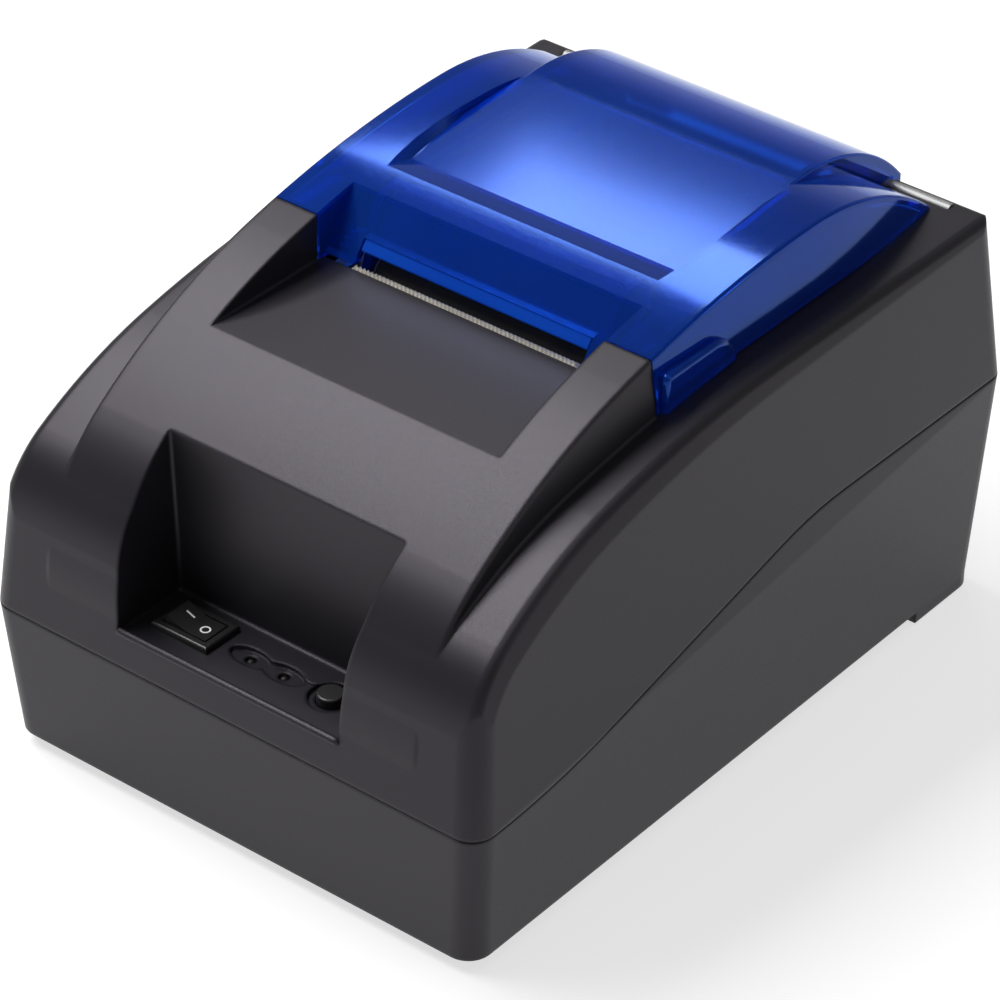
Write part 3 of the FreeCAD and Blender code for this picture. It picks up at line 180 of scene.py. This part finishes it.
# finishes
noiseSpan = (0.3, 0.7)  # the part of a noise's range that is used


def startFinish(name):
    material = bpy.data.materials.new(name)
    material.use_nodes = True
    tree = material.node_tree
    return material, tree, tree.nodes["Principled BSDF"]


def noise(tree, scale, detail, stretch=(1, 1, 1)):
    place = tree.nodes.new("ShaderNodeTexCoord")
    mapping = tree.nodes.new("ShaderNodeMapping")
    mapping.inputs["Scale"].default_value = stretch
    tree.links.new(place.outputs["Object"], mapping.inputs["Vector"])
    node = tree.nodes.new("ShaderNodeTexNoise")
    node.inputs["Scale"].default_value = scale
    node.inputs["Detail"].default_value = detail
    tree.links.new(mapping.outputs["Vector"], node.inputs["Vector"])
    return node.outputs["Fac"]


def between(tree, factor, low, high):
    node = tree.nodes.new("ShaderNodeMapRange")
    node.inputs["From Min"].default_value, node.inputs["From Max"].default_value = noiseSpan
    node.inputs["To Min"].default_value = low
    node.inputs["To Max"].default_value = high
    tree.links.new(factor, node.inputs["Value"])
    return node.outputs["Result"]


def twoColours(tree, factor, first, second):
    node = tree.nodes.new("ShaderNodeValToRGB")
    for stop, position, colour in zip(node.color_ramp.elements, noiseSpan, (first, second)):
        stop.position = position
        stop.color = (*colour, 1.0)
    tree.links.new(factor, node.inputs["Fac"])
    return node.outputs["Color"]


def bump(tree, shader, height, strength, distance):
    node = tree.nodes.new("ShaderNodeBump")
    node.inputs["Strength"].default_value = strength
    node.inputs["Distance"].default_value = distance
    tree.links.new(height, node.inputs["Height"])
    tree.links.new(node.outputs["Normal"], shader.inputs["Normal"])
    return node


def softenEdges(tree, grainBump, radius):
    # rounds the shading over the moulded edges
    node = tree.nodes.new("ShaderNodeBevel")
    node.samples = 6
    node.inputs["Radius"].default_value = radius
    tree.links.new(node.outputs["Normal"], grainBump.inputs["Normal"])


def grainyFinish(name, look):
    material, tree, shader = startFinish(name)
    blotch = noise(tree, look["blotchScale"], 2.0)
    grain = noise(tree, look["grainScale"], 3.0, look.get("stretch", (1, 1, 1)))
    tree.links.new(twoColours(tree, blotch, look["dark"], look["light"]), shader.inputs["Base Color"])
    tree.links.new(between(tree, grain, *look["roughness"]), shader.inputs["Roughness"])
    grainBump = bump(tree, shader, grain, look["bump"], look["bumpDepth"])
    shader.inputs["Metallic"].default_value = look.get("metal", 0.0)
    shader.inputs["Specular IOR Level"].default_value = look.get("gloss", 0.5)
    shader.inputs["Specular Tint"].default_value = look.get("tint", (1.0, 1.0, 1.0, 1.0))
    if "edge" in look:
        softenEdges(tree, grainBump, look["edge"])
    return material


finishes = {
    "casePlastic": {"dark": (0.0085, 0.0078, 0.0100), "light": (0.0115, 0.0106, 0.0130),
                    "blotchScale": 14.0, "grainScale": 2600.0, "roughness": (0.36, 0.44), "bump": 0.08,
                    "bumpDepth": 0.0001, "gloss": 0.36, "tint": (0.95, 0.88, 1.0, 1.0), "edge": 0.0011},
    "chassisPlastic": {"dark": (0.012, 0.012, 0.013), "light": (0.018, 0.018, 0.020), "blotchScale": 20.0,
                       "grainScale": 1500.0, "roughness": (0.48, 0.62), "bump": 0.12, "bumpDepth": 0.0001},
    "controlPlastic": {"dark": (0.010, 0.010, 0.011), "light": (0.015, 0.015, 0.016), "blotchScale": 60.0,
                       "grainScale": 3000.0, "roughness": (0.28, 0.38), "bump": 0.05, "bumpDepth": 0.00005},
    "lensPlastic": {"dark": (0.005, 0.005, 0.006), "light": (0.009, 0.009, 0.010), "blotchScale": 300.0,
                    "gloss": 0.25, "grainScale": 3000.0, "roughness": (0.42, 0.50), "bump": 0.02,
                    "bumpDepth": 0.00002},
    "tearSteel": {"dark": (0.66, 0.63, 0.56), "light": (0.78, 0.75, 0.68), "blotchScale": 90.0,
                  "metal": 0.15, "grainScale": 900.0, "stretch": (0.05, 1, 1), "roughness": (0.28, 0.42),
                  "bump": 0.15, "bumpDepth": 0.00005},
    "rodSteel": {"dark": (0.36, 0.36, 0.36), "light": (0.46, 0.46, 0.45), "blotchScale": 60.0,
                 "metal": 1.0, "grainScale": 1800.0, "stretch": (0.04, 1, 1), "roughness": (0.22, 0.34),
                 "bump": 0.08, "bumpDepth": 0.00003},
    "hingeSteel": {"dark": (0.20, 0.20, 0.20), "light": (0.28, 0.28, 0.275), "blotchScale": 60.0,
                   "metal": 0.6, "grainScale": 1800.0, "stretch": (0.04, 1, 1), "roughness": (0.40, 0.50),
                   "bump": 0.08, "bumpDepth": 0.00003},
    "zincSheet": {"dark": (0.42, 0.43, 0.44), "light": (0.62, 0.62, 0.61), "blotchScale": 120.0, "metal": 1.0,
                  "grainScale": 700.0, "roughness": (0.34, 0.52), "bump": 0.06, "bumpDepth": 0.00005},
    "screwSteel": {"dark": (0.36, 0.35, 0.33), "light": (0.50, 0.49, 0.46), "blotchScale": 300.0,
                   "metal": 1.0, "grainScale": 2500.0, "roughness": (0.30, 0.45), "bump": 0.10,
                   "bumpDepth": 0.00004},
    "nylon": {"dark": (0.70, 0.68, 0.61), "light": (0.80, 0.78, 0.72), "blotchScale": 150.0,
              "grainScale": 1800.0, "roughness": (0.38, 0.50), "bump": 0.06, "bumpDepth": 0.00005},
    "brass": {"dark": (0.66, 0.47, 0.19), "light": (0.78, 0.58, 0.26), "blotchScale": 300.0, "metal": 1.0,
              "grainScale": 2400.0, "roughness": (0.22, 0.34), "bump": 0.05, "bumpDepth": 0.00003},
    "rubber": {"dark": (0.014, 0.014, 0.014), "light": (0.024, 0.024, 0.024), "blotchScale": 80.0,
               "grainScale": 2200.0, "roughness": (0.68, 0.85), "bump": 0.20, "bumpDepth": 0.00008},
    "ceramic": {"dark": (0.66, 0.64, 0.59), "light": (0.74, 0.73, 0.69), "blotchScale": 140.0,
                "grainScale": 1500.0, "roughness": (0.10, 0.18), "bump": 0.02, "bumpDepth": 0.00002},
    "pressedAluminium": {"dark": (0.58, 0.58, 0.59), "light": (0.70, 0.70, 0.71), "blotchScale": 90.0,
                         "metal": 1.0, "grainScale": 1200.0, "roughness": (0.36, 0.50), "bump": 0.10,
                         "bumpDepth": 0.00005},
    "solderMask": {"dark": (0.010, 0.085, 0.035), "light": (0.020, 0.150, 0.060), "blotchScale": 700.0,
                   "grainScale": 900.0, "roughness": (0.24, 0.36), "bump": 0.10, "bumpDepth": 0.00004},
    "whitePaint": {"dark": (0.80, 0.80, 0.79), "light": (0.88, 0.88, 0.87), "blotchScale": 900.0,
                   "grainScale": 4000.0, "roughness": (0.45, 0.60), "bump": 0.05, "bumpDepth": 0.00002},
    "film": {"dark": (0.42, 0.20, 0.04), "light": (0.56, 0.30, 0.07), "blotchScale": 200.0,
             "grainScale": 700.0, "stretch": (12, 0.4, 0.4), "roughness": (0.22, 0.34), "bump": 0.20,
             "bumpDepth": 0.00006},
}


# see-through blue of the cover and of the platen holder under it
coverLook = {
    "colour": (0.008, 0.095, 0.70),
    "deepColour": (0.005, 0.070, 0.60),
    "cloudScale": 30.0,
    "transmission": 0.80,
    "holderTransmission": 0.40,
    "mirror": 0.15,  # blue gloss from the frosted inner face
    "roughness": (0.07, 0.10),
    "ior": 1.49,
    "gloss": 0.09,
    "glossTint": (0.22, 0.62, 1.0, 1.0),
    "grainScale": 1600.0,
    "bump": 0.006,
    "bumpDepth": 0.00004,
}


def bluePlastic(name, transmission):
    material, tree, shader = startFinish(name)
    cloud = noise(tree, coverLook["cloudScale"], 2.0)
    grain = noise(tree, coverLook["grainScale"], 2.0)
    blues = twoColours(tree, cloud, coverLook["deepColour"], coverLook["colour"])
    tree.links.new(blues, shader.inputs["Base Color"])
    tree.links.new(between(tree, grain, *coverLook["roughness"]), shader.inputs["Roughness"])
    shader.inputs["Transmission Weight"].default_value = transmission
    shader.inputs["Metallic"].default_value = coverLook["mirror"]
    shader.inputs["IOR"].default_value = coverLook["ior"]
    shader.inputs["Specular IOR Level"].default_value = coverLook["gloss"]
    shader.inputs["Specular Tint"].default_value = coverLook["glossTint"]
    bump(tree, shader, grain, coverLook["bump"], coverLook["bumpDepth"])
    return material


wearers = {
    "casePlastic": ["lower_base", "upper_housing"],
    "chassisPlastic": ["paper_chassis", "paper_sensor", "board_components", "drawer_port", "dc_inlet",
                       "tact_switch"],
    "controlPlastic": ["switch_body", "switch_rocker", "feed_button"],
    "lensPlastic": ["status_lights"],
    "tearSteel": ["tear_bar"],
    "rodSteel": ["platen_shaft", "idler_post", "motor_shaft", "head_pivot_pin", "head_spring"],
    "hingeSteel": ["hinge_rod"],
    "zincSheet": ["mechanism_frame", "motor_body", "usb_port"],
    "screwSteel": ["case_screws", "chassis_screws", "board_screws", "frame_screws", "panel_screws",
                   "motor_screws"],
    "nylon": ["platen_gear", "idler_gear", "platen_bushes"],
    "brass": ["motor_pinion"],
    "rubber": ["platen_rubber", "rubber_feet"],
    "ceramic": ["thermal_head"],
    "pressedAluminium": ["heat_sink"],
    "solderMask": ["main_board", "panel_board"],
    "film": ["head_cable"],
}


def wear(node, material):
    mesh = nodes[node].data
    if not mesh.materials:
        mesh.materials.append(material)
    for i in range(len(mesh.materials)):
        mesh.materials[i] = material


for finishName, wearing in wearers.items():
    made = grainyFinish(finishName, finishes[finishName])
    for nodeName in wearing:
        wear(nodeName, made)
wear("cover_shell", bluePlastic("coverBlue", coverLook["transmission"]))
wear("platen_holder", bluePlastic("holderBlue", coverLook["holderTransmission"]))
print("finishes on", len(wearers) + 2)


# small trim pieces, in metres; heights from the surface that the printer stands on
def meshFrom(shape, name):
    mesh = bpy.data.meshes.new(name)
    shape.to_mesh(mesh)
    shape.free()
    return mesh


def finishPiece(name, mesh, body, material, smooth=True):
    piece = placeObject(name, mesh)
    mesh.materials.append(material)
    for polygon in mesh.polygons:
        polygon.use_smooth = smooth
    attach(piece, body)
    return piece


# round end of a bead: share of the radius, and how far out
beadCaps = [(0.92, 0.38), (0.62, 0.78), (0.20, 0.98)]


def beadMesh(name, path, radius, sides):
    # a round bead along a level line of points, with rounded ends
    points = [Vector(p) for p in path]
    last = len(points) - 1
    up = Vector((0, 0, 1))
    rows = []
    for i, point in enumerate(points):
        along = (points[min(i + 1, last)] - points[max(i - 1, 0)]).normalized()
        rows.append((point, along, along.cross(up).normalized(), radius))
    start, end = rows[0], rows[-1]
    for size, reach in beadCaps:
        rows.insert(0, (start[0] - start[1] * radius * reach, start[1], start[2], radius * size))
        rows.append((end[0] + end[1] * radius * reach, end[1], end[2], radius * size))
    shape = bmesh.new()
    rings = []
    for centre, along, across, size in rows:
        ring = []
        for k in range(sides):
            turn = 2 * math.pi * k / sides
            spot = across * (size * math.cos(turn)) + up * (size * math.sin(turn))
            ring.append(shape.verts.new(centre + spot))
        rings.append(ring)
    for first, second in zip(rings, rings[1:]):
        for k in range(sides):
            n = (k + 1) % sides
            shape.faces.new((first[k], first[n], second[n], second[k]))
    shape.faces.new(list(reversed(rings[0])))
    shape.faces.new(rings[-1])
    bmesh.ops.recalc_face_normals(shape, faces=shape.faces[:])
    return meshFrom(shape, name)


# bead along the front of the niche floor
nicheLip = {"height": 0.0447, "y": -0.0906, "halfWidth": 0.0288, "radius": 0.00085, "steps": 24, "sides": 14}


def makeNicheLip(material):
    steps = nicheLip["steps"]
    path = [(nicheLip["halfWidth"] * (2 * i / steps - 1), nicheLip["y"], nicheLip["height"])
            for i in range(steps + 1)]
    mesh = beadMesh("nicheLip", path, nicheLip["radius"], nicheLip["sides"])
    finishPiece("nicheLip", mesh, "case", material)


# raised rim behind the lights and round the button
pocketRim = {"height": 0.0446, "y": -0.080, "lights": (-0.0027, 0.0062), "lightHalf": (0.0052, 0.0027),
             "button": 0.0184, "buttonRadius": 0.0048, "radius": 0.00034, "startShare": 0.96,
             "endShare": 0.93, "least": 0.0009, "steps": 90, "sweeps": 6, "sides": 10}


def rimDistance(x):
    # how far behind the row's middle line the pocket's rear edge lies at x
    reach = 0.0
    halfX, halfY = pocketRim["lightHalf"]
    for centre in pocketRim["lights"]:
        part = 1 - ((x - centre) / halfX) ** 2
        reach = max(reach, halfY * math.sqrt(part) if part > 0 else 0.0)
    part = pocketRim["buttonRadius"] ** 2 - (x - pocketRim["button"]) ** 2
    return max(reach, math.sqrt(part) if part > 0 else 0.0)


def makePocketRim(material):
    start = pocketRim["lights"][0] - pocketRim["startShare"] * pocketRim["lightHalf"][0]
    end = pocketRim["button"] + pocketRim["endShare"] * pocketRim["buttonRadius"]
    steps = pocketRim["steps"]
    row = [(start + (end - start) * i / steps) for i in range(steps + 1)]
    far = [max(rimDistance(x), pocketRim["least"]) for x in row]
    for sweep in range(pocketRim["sweeps"]):  # soften the inside corners
        inner = [(far[i - 1] + 2 * far[i] + far[i + 1]) / 4 for i in range(1, steps)]
        far = [far[0]] + inner + [far[-1]]
    path = [(x, pocketRim["y"] + reach, pocketRim["height"]) for x, reach in zip(row, far)]
    mesh = beadMesh("pocketRim", path, pocketRim["radius"], pocketRim["sides"])
    finishPiece("pocketRim", mesh, "case", material)


# lower edge of the exit wall: a thin blue lip over the paper slot
exitLip = {"halfWidth": 0.0298, "foot": (-0.0155, 0.0953), "lean": 52.8, "from": 0.0983, "to": 0.1006,
           "inset": 0.0002, "thickness": 0.0011, "bevel": 0.00025}


def makeExitLip(material):
    lean = math.radians(exitLip["lean"])
    along = Vector((0, math.cos(lean), math.sin(lean)))
    inward = Vector((0, math.sin(lean), -math.cos(lean)))
    foot = Vector((0, *exitLip["foot"]))
    near = exitLip["inset"]
    far = near + exitLip["thickness"]
    section = []
    for push, height in ((near, "from"), (near, "to"), (far, "to"), (far, "from")):
        rise = (exitLip[height] - exitLip["foot"][1]) / math.sin(lean)
        section.append(foot + along * rise + inward * push)
    half = exitLip["halfWidth"]
    shape = bmesh.new()
    left = [shape.verts.new((-half, p.y, p.z)) for p in section]
    right = [shape.verts.new((half, p.y, p.z)) for p in section]
    shape.faces.new(left)
    shape.faces.new(list(reversed(right)))
    for i in range(4):
        k = (i + 1) % 4
        shape.faces.new((left[i], right[i], right[k], left[k]))
    bmesh.ops.bevel(shape, geom=shape.edges[:], offset=exitLip["bevel"], segments=2, affect="EDGES")
    bmesh.ops.recalc_face_normals(shape, faces=shape.faces[:])
    finishPiece("exitLip", meshFrom(shape, "exitLip"), "cover", material, smooth=False)


# white I and O printed on the rocker, laid on its two faces
rockerMarks = {"centre": (-0.0176, -0.080), "bar": (-0.0021, 0.00095), "barSize": (0.0023, 0.00042),
               "ring": (0.0030, -0.00033), "ringRadius": (0.00118, 0.00080), "lift": 0.00004, "ringSteps": 48}


def surfaceUnder(node, x, y):
    mesh = nodes[node].data
    tree = BVHTree.FromPolygons([v.co for v in mesh.vertices], [p.vertices[:] for p in mesh.polygons])
    return tree.ray_cast(Vector((x, y, 1.0)), Vector((0, 0, -1)))[:2]


def markPlane(mark):
    # a point just over the rocker's face, and the face's two directions
    place, normal = surfaceUnder("switch_rocker", rockerMarks["centre"][0] + rockerMarks[mark][0],
                                 rockerMarks["centre"][1] + rockerMarks[mark][1])
    side = Vector((0, 1, 0))
    return place + normal * rockerMarks["lift"], side.cross(normal).normalized(), side


def layLoop(shape, points):
    # the loop on the face, the same loop a little lower, and the wall between them
    drop = Vector((0, 0, -2 * rockerMarks["lift"]))
    top = [shape.verts.new(point) for point in points]
    low = [shape.verts.new(point + drop) for point in points]
    for k in range(len(top)):
        n = (k + 1) % len(top)
        shape.faces.new((top[k], top[n], low[n], low[k]))
    return top, low


def makeRockerMarks(material):
    shape = bmesh.new()
    base, along, side = markPlane("bar")
    halfLong, halfWide = [0.5 * size for size in rockerMarks["barSize"]]
    corners = [base + along * (halfLong * a) + side * (halfWide * b)
               for a, b in ((-1, -1), (1, -1), (1, 1), (-1, 1))]
    for loop in layLoop(shape, corners):
        shape.faces.new(loop)
    base, along, side = markPlane("ring")
    count = rockerMarks["ringSteps"]
    turns = [2 * math.pi * k / count for k in range(count)]
    rings = []
    for radius in rockerMarks["ringRadius"]:
        spots = [along * (radius * math.cos(turn)) + side * (radius * math.sin(turn)) for turn in turns]
        rings.append(layLoop(shape, [base + spot for spot in spots]))
    for outer, inner in zip(*rings):
        for k in range(count):
            n = (k + 1) % count
            shape.faces.new((outer[k], outer[n], inner[n], inner[k]))
    bmesh.ops.recalc_face_normals(shape, faces=shape.faces[:])
    mesh = meshFrom(shape, "rockerMarks")
    finishPiece("rockerMarks", mesh, "rocker", material, smooth=False)


# leaf spring of the print head: a finer copy of its mesh shown in place of the part
headSpring = {"bend": (0, -0.02, 0.0715), "tip": (0, -0.02, 0.0835), "cuts": 5}


def makeHeadSpring(material):
    shape = bmesh.new()
    shape.from_mesh(nodes["head_spring"].data)
    bmesh.ops.subdivide_edges(shape, edges=shape.edges[:], cuts=headSpring["cuts"], use_grid_fill=True)
    mesh = meshFrom(shape, "headSpring")
    piece = placeObject("headSpring", mesh)
    mesh.materials.clear()
    mesh.materials.append(material)
    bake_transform(piece)
    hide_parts("head_spring")


materials = bpy.data.materials
makeNicheLip(materials["casePlastic"])
makePocketRim(materials["casePlastic"])
makeExitLip(materials["holderBlue"])
makeHeadSpring(materials["rodSteel"])
makeRockerMarks(grainyFinish("whitePaint", finishes["whitePaint"]))
print("trim made")
